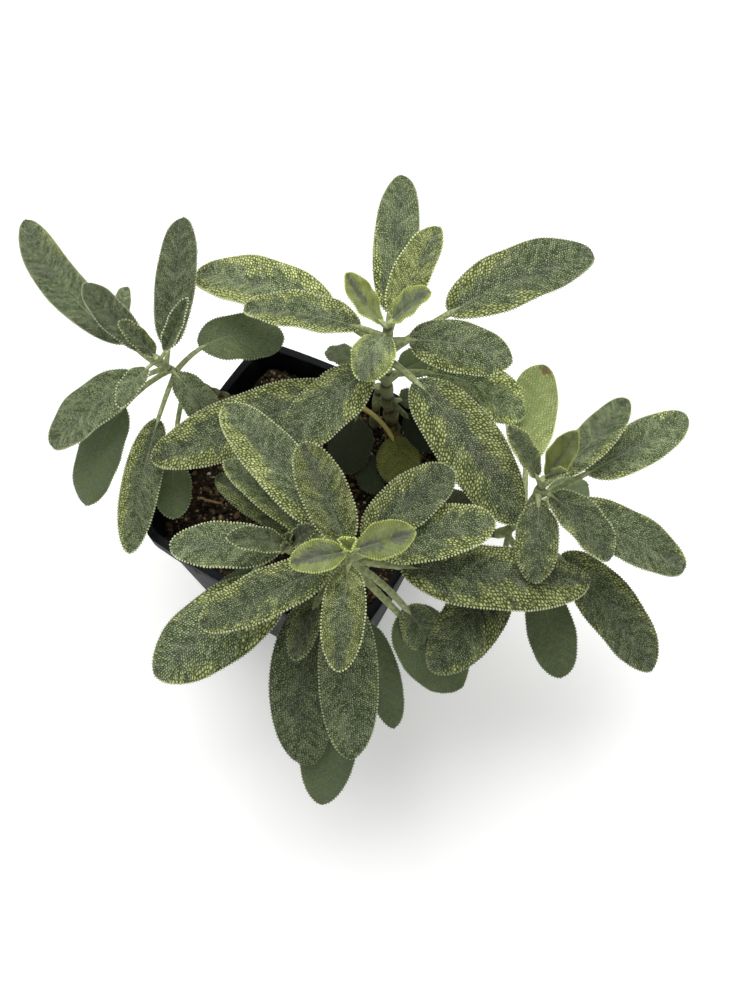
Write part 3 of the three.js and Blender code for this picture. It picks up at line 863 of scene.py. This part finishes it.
def swept(tree, curves, columns):
    # the curves with a ring of points at each of theirs, and the angle round it
    ring = tree.add("GeometryNodeCurvePrimitiveCircle", {}, {"Resolution": columns, "Radius": 1})
    turn = tree.add("GeometryNodeInputIndex") * (2 * math.pi) / columns
    ring = tree.add("GeometryNodeCaptureAttribute", {"captures": [("Angle", "FLOAT")]}, {
        "Geometry": ring, "Angle": turn})
    skin = tree.add("GeometryNodeCurveToMesh", {}, {
        "Curve": curves, "Profile Curve": ring.out("Geometry"), "Fill Caps": True})
    return skin, ring.out("Angle")


def shootTree(values):
    tree, given = growthTree("sage_shoot", values)
    split = tree.add("GeometryNodeSeparateGeometry", {"domain": "POINT"}, {
        "Geometry": given.out("Geometry"), "Selection": tree.field("blade") > 0.5})
    labels = ("share", "width", "long", "fold", "seed", "age", "yellow", "light", "wood")
    share, width, long, fold, seed, age, yellow, light, wood = (tree.field(label) for label in labels)
    young = 1 - age.step(0, 0.1)

    # blades: broadest near the middle, and young ones narrow towards their feet
    midribs, centre, right, up = framed(tree, split.out("Selection"))
    half = width * 0.5 * ((1 - (2 * share**0.95 - 1).size() ** 2.3).atLeast(0)) ** 0.55
    half = half * (1 - young * (1 - share.step(0, 0.45)) * 0.35)

    def bladePoint(across, face):
        # a point of a blade: across runs from -1 to 1 between the margins, face from -1 below to 1 on top
        outward = across.size()
        sideways = across * half
        dent = (-((sideways / given.out("Groove Width")) ** 2)).math("EXPONENT")
        groove = -(given.out("Groove Depth") * (1 - share * 0.6) * dent)
        phase = (share * long - sideways.size() * leafPattern["veinLean"]) / given.out("Vein Spacing") + seed
        valley = (1 - (phase * math.pi).sine().size()) ** 3
        fade = outward.step(0.05, 0.3) * (1 - outward.step(0.7, 1)) * (1 - age * 0.4)
        veins = -(given.out("Vein Depth") * valley * fade)
        pillow = given.out("Pillow") * half * (1 - (outward * 2 - 1) ** 2)
        waving = (share * given.out("Wave Angle") + seed * 30 + across * 2).sine()
        wave = given.out("Wave") * waving * outward**2
        cup = outward**1.3 * half * fold.sine()
        body = face * (2 - face.size()) * given.out("Thickness") * 0.5
        rise = cup + groove + veins + pillow + wave + body
        return centre.plus(right.times(sideways * fold.cosine())).plus(up.times(rise))

    blades, angle = swept(tree, midribs, given.out("Columns"))
    leaned = angle.cosine()
    across = leaned.sign() * leaned.size() ** 1.6
    face = angle.sine()
    blades = tree.moved(blades, {"Position": bladePoint(across, face)})
    broadness = width / (leafPattern["broadLeaf"] * mm)
    look = tree.combine(yellow, tree.field("side"), age)
    blades = tree.store(blades, "bladePlace", tree.combine(across * half / mm, share * long / mm, across))
    blades = tree.store(blades, "bladeLook", look)
    blades = tree.store(blades, "bladeMore", tree.combine(seed, tree.field("reach"), share))
    # the blade's underside flag, width and its painted shade and painted light factor
    blades = tree.store(blades, "bladeLast", tree.combine(face < -0.001, broadness, light))
    blades = tree.painted(blades, given.out("Leaf"))

    # teeth along both margins
    margins = []
    for side in (-1, 1):
        edge = tree.add("ShaderNodeValue")
        edge.socket.default_value = side
        level = tree.add("ShaderNodeValue")
        level.socket.default_value = 0
        rim = tree.moved(midribs, {"Position": bladePoint(edge, level)})
        margins.append(tree.add("GeometryNodeResampleCurve", {"mode": "LENGTH"}, {
            "Curve": rim, "Length": given.out("Tooth Spacing") * (1 - 0.25 * young)}))
    rims = tree.add("GeometryNodeJoinGeometry", {}, {"Geometry": margins})
    ball = tree.add("GeometryNodeMeshIcoSphere", {}, {"Radius": 1, "Subdivisions": 1})
    girth = given.out("Tooth Radius") * tree.random(0.8, 1.15, given.out("Seed"))
    girth = girth * (0.6 + 0.4 * (width / given.out("Full Tooth Width")).atMost(1))
    teeth = tree.add("GeometryNodeInstanceOnPoints", {}, {
        "Points": rims, "Instance": ball, "Scale": tree.combine(girth, girth, girth)})
    teeth = tree.store(teeth, "bladeLook", look, "INSTANCE")
    # the teeth carry their leaf's painted shade and painted light factor
    teeth = tree.store(teeth, "bladeLast", tree.combine(0, 0, light), "INSTANCE")
    teeth = tree.painted(tree.realized(teeth), given.out("Margin"))

    # stem and petioles
    stalks, middle, rightward, upward = framed(tree, split.out("Inverted"))
    stalks, angle = swept(tree, stalks, given.out("Stalk Sides"))
    knot = 1 - (1 - (share * math.pi).sine().size() ** 0.6) * tree.field("knobs")
    ripple = tree.noise(tree.add("GeometryNodeInputPosition"), 1 / (3 * mm)) - 0.5
    radius = tree.field("thick") * (1.05 - (1 - knot) * (0.3 + 0.2 * wood) + ripple * 0.3)
    rim = rightward.times(angle.cosine() * radius).plus(upward.times(angle.sine() * radius))
    stalks = tree.moved(stalks, {"Position": middle.plus(rim)})
    stalks = tree.store(stalks, "stalkLook", tree.combine(wood, knot, yellow))
    # the petioles' painted shade and painted light factor
    stalks = tree.store(stalks, "stalkMore", tree.combine(light, 0, 0))
    stalks = tree.painted(stalks, given.out("Stalk"))

    # a felt of short hairs on them
    roots = tree.add("GeometryNodeDistributePointsOnFaces", {}, {
        "Mesh": stalks, "Density": given.out("Hair Density"), "Seed": given.out("Seed")})
    hair = tree.add("GeometryNodeMeshCone", {}, {
        "Vertices": 3, "Radius Bottom": given.out("Hair Radius"), "Radius Top": 0,
        "Depth": given.out("Hair Length")})
    lean = tree.random((-0.6, -0.6, 0), (0.6, 0.6, 3), given.out("Seed"))
    lean = tree.add("FunctionNodeEulerToRotation", {}, {"Euler": lean})
    turn = tree.add("FunctionNodeRotateRotation", {"rotation_space": "LOCAL"}, {
        "Rotation": roots.out("Rotation"), "Rotate By": lean})
    hairs = tree.add("GeometryNodeInstanceOnPoints", {}, {
        "Points": roots, "Instance": hair, "Rotation": turn})
    hairs = tree.painted(tree.realized(hairs), given.out("Hair"))

    tree.close([blades, teeth, stalks, hairs])
    return tree


# Pot: the model's own rings with more points, rounded edges and drain holes

potSizes = {
    "height": 95 * mm,
    "rimHalf": 50 * mm,
    "baseHalf": 40 * mm,
    "wall": 1 * mm,
    "floor": 1.6 * mm,
    "flange": 3.2 * mm,
    "lip": 9 * mm,
    "lipFlare": 0.5 * mm,
    "cornerRim": 9 * mm,
    "cornerBase": 13 * mm,
    "bulgeRim": 3.8 * mm,
    "bulgeBase": 1.2 * mm,
    "drainRadius": 4 * mm,
    "drainOffset": 26 * mm,
    "drainSides": 32,
    "edgeRound": 0.3 * mm,
    "edgeSteps": 3,
    "edgeAngle": 40,  # degrees from which an edge is rounded
    "creaseAngle": 35,  # and from which it is shaded sharp
    "wallRings": 7,
}


def squareRing(z, half, corner, bulge, cornerSteps=8, sideSteps=10):
    # a level ring: a square of rounded corners whose sides bulge between them
    straight = half - corner
    side = [(half, straight * (2 * i / sideSteps - 1)) for i in range(1, sideSteps)]
    for i in range(cornerSteps + 1):
        angle = i / cornerSteps * math.pi / 2
        side.append((straight + corner * math.cos(angle), straight + corner * math.sin(angle)))

    def bulged(out, across):
        return out * (1 + bulge / half * (1 - (across / half) ** 2))

    ring = []
    for cos, sin in ((1, 0), (0, 1), (-1, 0), (0, -1)):
        for x, y in side:
            x, y = x * cos - y * sin, x * sin + y * cos
            ring.append((bulged(x, y), bulged(y, x), z))
    return np.array(ring)


def wallRing(z, inset):
    # the tapered wall's ring at a height, moved inwards
    s = potSizes
    share = z / s["height"]
    top = s["rimHalf"] - s["flange"] + s["wall"]
    cornerTop = s["cornerRim"] - s["flange"] + s["wall"]
    return squareRing(z, s["baseHalf"] + (top - s["baseHalf"]) * share - inset,
                      s["cornerBase"] + (cornerTop - s["cornerBase"]) * share - inset,
                      s["bulgeBase"] + (s["bulgeRim"] - s["bulgeBase"]) * share)


def loftMesh(name, rings):
    # quads between rings of equal count, closed by a face at each end
    count = len(rings[0])
    faces = []
    for low in range(0, (len(rings) - 1) * count, count):
        high = low + count
        for i in range(count):
            after = (i + 1) % count
            faces.append((low + i, low + after, high + after, high + i))
    faces += [tuple(reversed(range(count))), tuple(range(high, high + count))]
    mesh = bpy.data.meshes.new(name)
    mesh.from_pydata(np.vstack(rings), [], faces)
    return mesh


def potPiece():
    s = potSizes
    under = s["height"] - s["wall"]
    foot = s["height"] - s["lip"]

    def lipRing(z, inset):
        return squareRing(z, s["rimHalf"] - inset, s["cornerRim"] - inset, s["bulgeRim"])

    rings = [wallRing(z, 0) for z in np.linspace(0, under, s["wallRings"])]
    rings += [lipRing(under, s["wall"]), lipRing(foot, s["wall"] + s["lipFlare"])]
    rings += [lipRing(foot, s["lipFlare"]), lipRing(s["height"], 0)]
    rings += [wallRing(z, s["wall"]) for z in np.linspace(s["height"], s["floor"], s["wallRings"])]
    pot = placed("nursery_pot", loftMesh("nursery_pot", rings))
    drills = []
    for x, y in ((1, 1), (-1, 1), (-1, -1), (1, -1)):
        bpy.ops.mesh.primitive_cylinder_add(
            vertices=s["drainSides"], radius=s["drainRadius"], depth=4 * s["floor"],
            location=(x * s["drainOffset"], y * s["drainOffset"], 0))
        drills.append(bpy.context.active_object)
        cut = pot.modifiers.new("Drain", "BOOLEAN")
        cut.object = drills[-1]
        cut.operation = "DIFFERENCE"
        cut.solver = "EXACT"
    rounding = pot.modifiers.new("Rounding", "BEVEL")
    rounding.width = s["edgeRound"]
    rounding.segments = s["edgeSteps"]
    rounding.angle_limit = math.radians(s["edgeAngle"])
    made = evaluated(pot)
    pot.modifiers.clear()
    pot.data = made
    for drill in drills:
        bpy.data.objects.remove(drill)
    pot.data.polygons.foreach_set("use_smooth", [True] * len(pot.data.polygons))
    pot.data.set_sharp_from_angle(angle=math.radians(s["creaseAngle"]))
    return pot


potTones = {"black": rgb(4, 8, 11), "worn": rgb(11, 18, 23), "wallGrey": rgb(34, 38, 41), "dust": rgb(50, 50, 46)}


def potFinish():
    # thin black plastic: worn clouds, the wall greyer below the lip than at the lip, and dried splashes of
    # mix
    material, tree, shader = finish("pot_plastic", 0.5, shine=0.1)
    spot = tree.spot()
    cloud = tree.noise(spot, 1 / (18 * mm), 4, 0.6)
    fine = tree.noise(spot, 1 / (1.1 * mm), 3)
    height = spot.along("Z") / potSizes["height"]
    splash = (tree.noise(spot, 1 / (5 * mm), 5, 0.65) + height * 0.1).step(0.62, 0.74)
    colour = tree.blend(cloud.step(0.4, 0.75) * 0.6, potTones["black"], potTones["worn"])
    # greyer on the wall below the lip, black at the lip
    colour = tree.blend((1 - height.step(0.82, 0.9)) * 0.5, colour, potTones["wallGrey"])
    colour = tree.blend(splash * 0.35, colour, potTones["dust"])
    tree.feed(shader, "Base Color", colour)
    tree.feed(shader, "Roughness", 0.45 + cloud * 0.2 + splash * 0.3)
    bumped(tree, shader, fine * 0.3 + cloud, 0.08 * mm)
    return material


pot = potPiece()
pot.data.materials.append(potFinish())
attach(pot, "root")
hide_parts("pot")
print("pot made:", len(pot.data.polygons), "faces")


# Potting mix: a lumpy bed with bark, crumbs and a little white grit on it

mixSizes = {
    "top": 80 * mm,
    "relief": 2.2 * mm,
    "mound": 7 * mm,
    "moundPlace": (-43 * mm, 41 * mm),
    "moundReach": 18 * mm,
    "gap": 0.3 * mm,
    "bedRings": 44,
}

# what the mix's tree is given
chips = {
    "Coarse": 1.6 * mm,  # heights of the bed's coarse and fine lumps
    "Fine": 0.8 * mm,
    "Bark Spacing": 2.6 * mm,
    "Bark Size": 1.9 * mm,
    "Crumb Spacing": 1.25 * mm,
    "Crumb Size": 0.95 * mm,
    "Grit Spacing": 7.5 * mm,
    "Grit Size": 0.8 * mm,
    "Densest": 3e6,  # bits for each square metre before they are thinned to their spacing
    "Twig Start": (-39 * mm, -24 * mm, 84.5 * mm),
    "Twig End": (-29 * mm, -21 * mm, 83.5 * mm),
    "Twig Radius": 0.6 * mm,
    "Twig Crook": 2.5 * mm,
    "Seed": 3,
}

# how each kind of bit is stretched
chipShapes = {"Bark": (1, 0.6, 0.28), "Crumb": (1, 0.8, 0.7), "Grit": (1, 0.9, 0.8)}


def lumps(x, y):
    # three crossed waves of unrelated length, with x and y in millimetres
    first = np.sin(x * 0.9 + 1.7 * np.sin(y * 0.5))
    second = np.sin(y * 1.1 + 1.3 * np.sin(x * 0.6))
    return (first + second + np.sin((x + y) * 0.33)) / 3


def mixMesh():
    s = mixSizes
    inset = potSizes["wall"] + s["gap"]
    edge = wallRing(s["top"], inset)
    rings = [wallRing(z, inset) for z in (potSizes["floor"] + s["gap"], s["top"] / 2)] + [edge]
    # lumpy rings from the wall to the middle, whose rise fades out at the wall
    for share in np.linspace(0.985, 0.02, s["bedRings"]):
        ring = edge * [share, share, 1]
        wave = lumps(ring[:, 0] / mm, ring[:, 1] / mm)
        apart = np.hypot(*(ring[:, :2] - s["moundPlace"]).T) / s["moundReach"]
        rise = s["relief"] * (wave + 0.5 * (1 - share)) + s["mound"] * np.exp(-apart**2)
        ring[:, 2] += rise * min(1, (1 - share) / 0.04)
        rings.append(ring)
    return loftMesh("mix_bed", rings)


def mixTree(values):
    tree, given = growthTree("potting_mix", values)
    place = tree.add("GeometryNodeInputPosition")
    facing = tree.add("GeometryNodeInputNormal").along("Z") > 0.4
    rough = (tree.noise(place, 1 / (6 * mm), 4, 0.6) - 0.5) * given.out("Coarse")
    rough = rough + (tree.noise(place, 1 / (1.6 * mm), 3) - 0.5) * given.out("Fine")
    upward = tree.combine(0, 0, rough * facing)
    bed = tree.moved(given.out("Geometry"), {"Selection": facing, "Offset": upward})
    bed = tree.painted(bed, given.out("Mix"))
    parts = [bed]
    for number, (kind, stretch) in enumerate(chipShapes.items()):
        points = tree.add("GeometryNodeDistributePointsOnFaces", {"distribute_method": "POISSON"}, {
            "Mesh": bed, "Selection": facing, "Distance Min": given.out(kind + " Spacing"),
            "Density Max": given.out("Densest"), "Seed": given.out("Seed") + number})
        if kind == "Crumb":
            ball = tree.add("GeometryNodeMeshIcoSphere", {}, {"Radius": 1, "Subdivisions": 1})
        else:
            ball = tree.add("GeometryNodeMeshUVSphere", {}, {"Radius": 1, "Segments": 7, "Rings": 5})
        knobbly = tree.noise(place, 1.3, 2) - 0.5
        ball = tree.moved(ball, {"Offset": place.times(knobbly * 1.5)})
        ball = tree.add("GeometryNodeTransform", {}, {"Geometry": ball, "Scale": stretch})
        turn = tree.random((-0.5, -0.5, 0), (0.5, 0.5, 6.3), number + 10)
        size = tree.random(0.35, 1.15, number + 20) * given.out(kind + " Size")
        bits = tree.add("GeometryNodeInstanceOnPoints", {}, {
            "Points": points, "Instance": ball, "Rotation": turn, "Scale": tree.combine(size, size, size)})
        tint = tree.random(0, 1, number + 30)
        bits = tree.store(bits, "bitLook", tree.combine(number / 2, tint, 0), "INSTANCE")
        parts.append(tree.painted(tree.realized(bits), given.out("Bits")))

    # a dry twig that lies on the mix
    twig = tree.add("GeometryNodeCurvePrimitiveLine", {}, {
        "Start": given.out("Twig Start"), "End": given.out("Twig End")})
    twig = tree.add("GeometryNodeResampleCurve", {}, {"Curve": twig, "Count": 16})
    profile = tree.add("GeometryNodeCurvePrimitiveCircle", {}, {
        "Resolution": 8, "Radius": given.out("Twig Radius")})
    twig = tree.add("GeometryNodeCurveToMesh", {}, {
        "Curve": twig, "Profile Curve": profile, "Fill Caps": True})
    crook = tree.noise(place, 1 / (4 * mm)).out("Color").plus((-0.5, -0.5, -0.5))
    twig = tree.moved(twig, {"Offset": crook.times(given.out("Twig Crook"))})
    twig = tree.store(twig, "bitLook", (0.3, 0.95, 0))
    parts.append(tree.painted(twig, given.out("Bits")))
    tree.close(parts)
    return tree


mixTones = {
    "damp": rgb(12, 9, 6),
    "soil": rgb(54, 43, 30),
    "bark": [(0, rgb(18, 13, 9)), (0.6, rgb(54, 42, 29)), (0.88, rgb(108, 86, 60)), (1, rgb(180, 150, 112))],
    "grit": rgb(202, 198, 188),
}


def mixFinish():
    material, tree, shader = finish("moist_mix", 0.95)
    speck = tree.noise(tree.spot(), 1 / (1.4 * mm), 5, 0.7)
    tree.feed(shader, "Base Color", tree.blend(speck.step(0.35, 0.7), mixTones["damp"], mixTones["soil"]))
    bumped(tree, shader, speck, 0.5 * mm)
    return material


def bitsFinish():
    material, tree, shader = finish("bark_and_grit", 0.9)
    look = tree.attribute("bitLook")
    kind, tint = look.along("X"), look.along("Y")
    grain = tree.noise(tree.spot(), 1 / (0.7 * mm), 4, 0.6)
    bark = tree.add("ShaderNodeValToRGB", {"stops": mixTones["bark"]}, {"Fac": tint * 0.88 + grain * 0.22})
    tree.feed(shader, "Base Color", tree.blend(kind > 0.9, bark, mixTones["grit"]))
    bumped(tree, shader, grain, 0.25 * mm)
    return material


mixSettings = {**chips, "Mix": mixFinish(), "Bits": bitsFinish()}
mix = grown("mix_bed", mixMesh(), mixTree(mixSettings), mixSettings)
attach(mix, "root")
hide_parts("potting_mix")
print("potting mix made:", len(mix.data.polygons), "faces")


rng = np.random.default_rng(5)
settings = {**growth, **finishes}
shootGrowth = shootTree(settings)
for node, shoot in shoots.items():
    lines = lineMesh(node + "_lines", shootLines(shoot, rng))
    piece = grown("sage_" + node.replace("leaf_", ""), lines, shootGrowth, settings)
    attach(piece, "root")
    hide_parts(node)
    print(piece.name, "grown:", len(piece.data.polygons), "faces")
